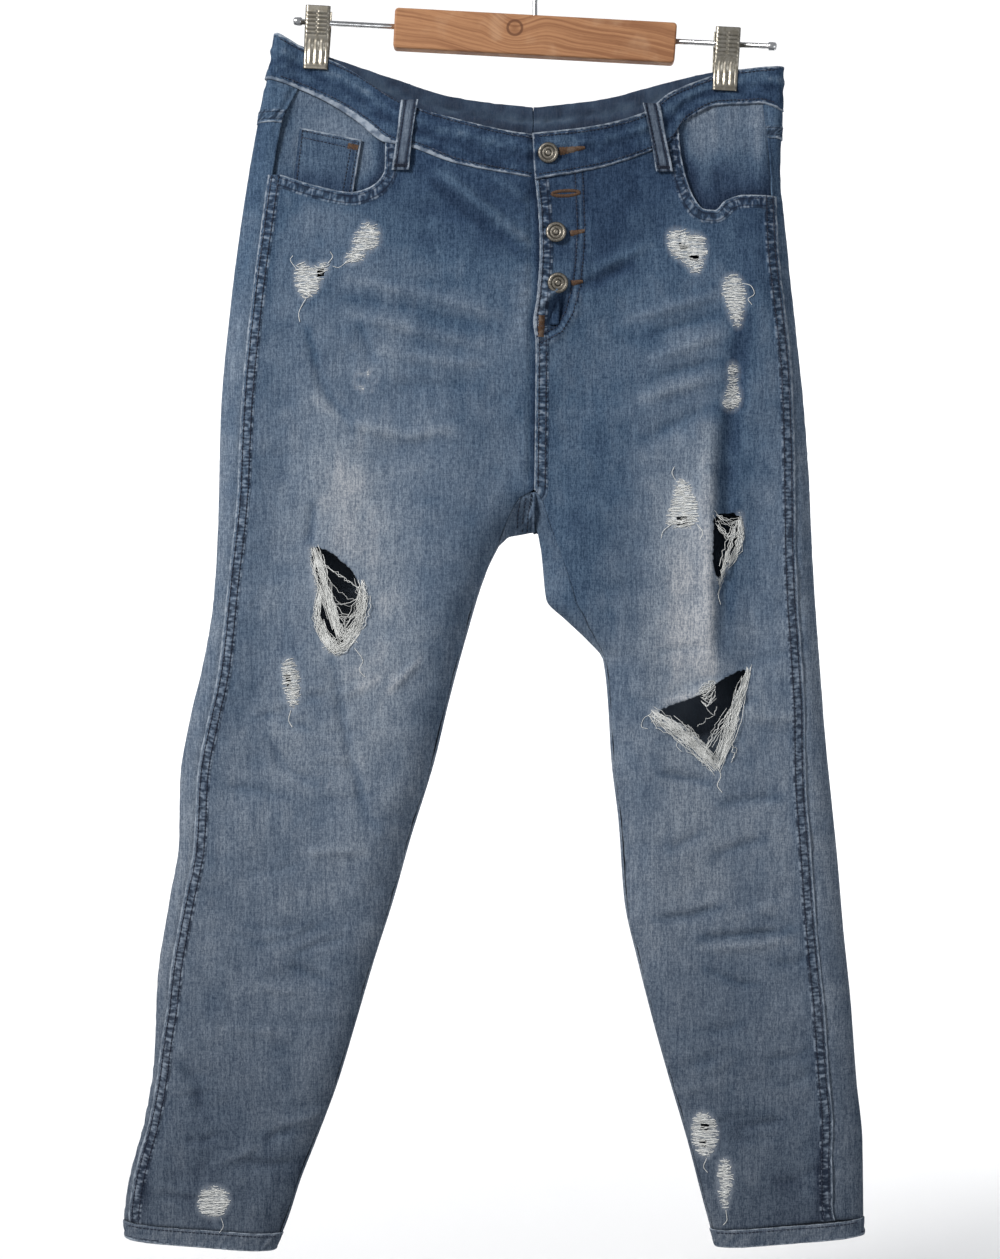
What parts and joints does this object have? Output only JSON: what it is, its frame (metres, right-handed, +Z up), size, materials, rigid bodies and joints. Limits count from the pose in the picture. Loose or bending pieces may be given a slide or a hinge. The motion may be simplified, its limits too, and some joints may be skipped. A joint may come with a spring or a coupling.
{
  "type": "ripped jeans on a wooden clip hanger",
  "caption": "Washed denim jeans with open rips and worn patches, button fly, hanging flat by the waistband from the metal clips of a wooden hanger.",
  "frame": {"origin": "the point on the inside of the hanger's hook that bears on a rail", "axes": "+Z up, the front of the jeans faces -Y, +X towards the wearer's left"},
  "size_m": [0.6221, 0.0535, 1.1111],
  "materials": {
    "denim": "stone-washed cotton twill",
    "denim_dark": "less washed cotton twill",
    "frayed_cotton": "bared white weft threads",
    "stitching": "brown and dark blue topstitching thread",
    "button_metal": "antiqued pressed metal",
    "wood": "bare brown softwood",
    "steel": "bright plated wire",
    "clip_metal": "nickel-plated pressed steel"
  },
  "bodies": {
    "root": {"front_right": "denim", "front_left": "denim", "back_right": "denim", "back_left": "denim", "yoke_right": "denim", "yoke_left": "denim", "waistband_right": "denim_dark", "waistband_left": "denim_dark", "hem_right": "denim_dark", "hem_left": "denim_dark", "pocket_facing_right": "denim", "pocket_facing_left": "denim", "coin_pocket": "denim", "back_pocket_right": "denim", "back_pocket_left": "denim", "fly_underlap": "denim_dark", "belt_loop_front_right": "denim_dark", "belt_loop_front_left": "denim_dark", "belt_loop_back_right": "denim_dark", "belt_loop_back_left": "denim_dark", "belt_loop_back_centre": "denim_dark", "button_waist": "button_metal", "button_fly_upper": "button_metal", "button_fly_lower": "button_metal", "hanger_bar": "wood", "hanger_rod": "steel", "hanger_hook": "steel", "clip_right_front": "clip_metal", "clip_right_back": "clip_metal", "clip_right_link": "clip_metal", "clip_left_front": "clip_metal", "clip_left_back": "clip_metal", "clip_left_link": "clip_metal"}
  },
  "joints": []
}
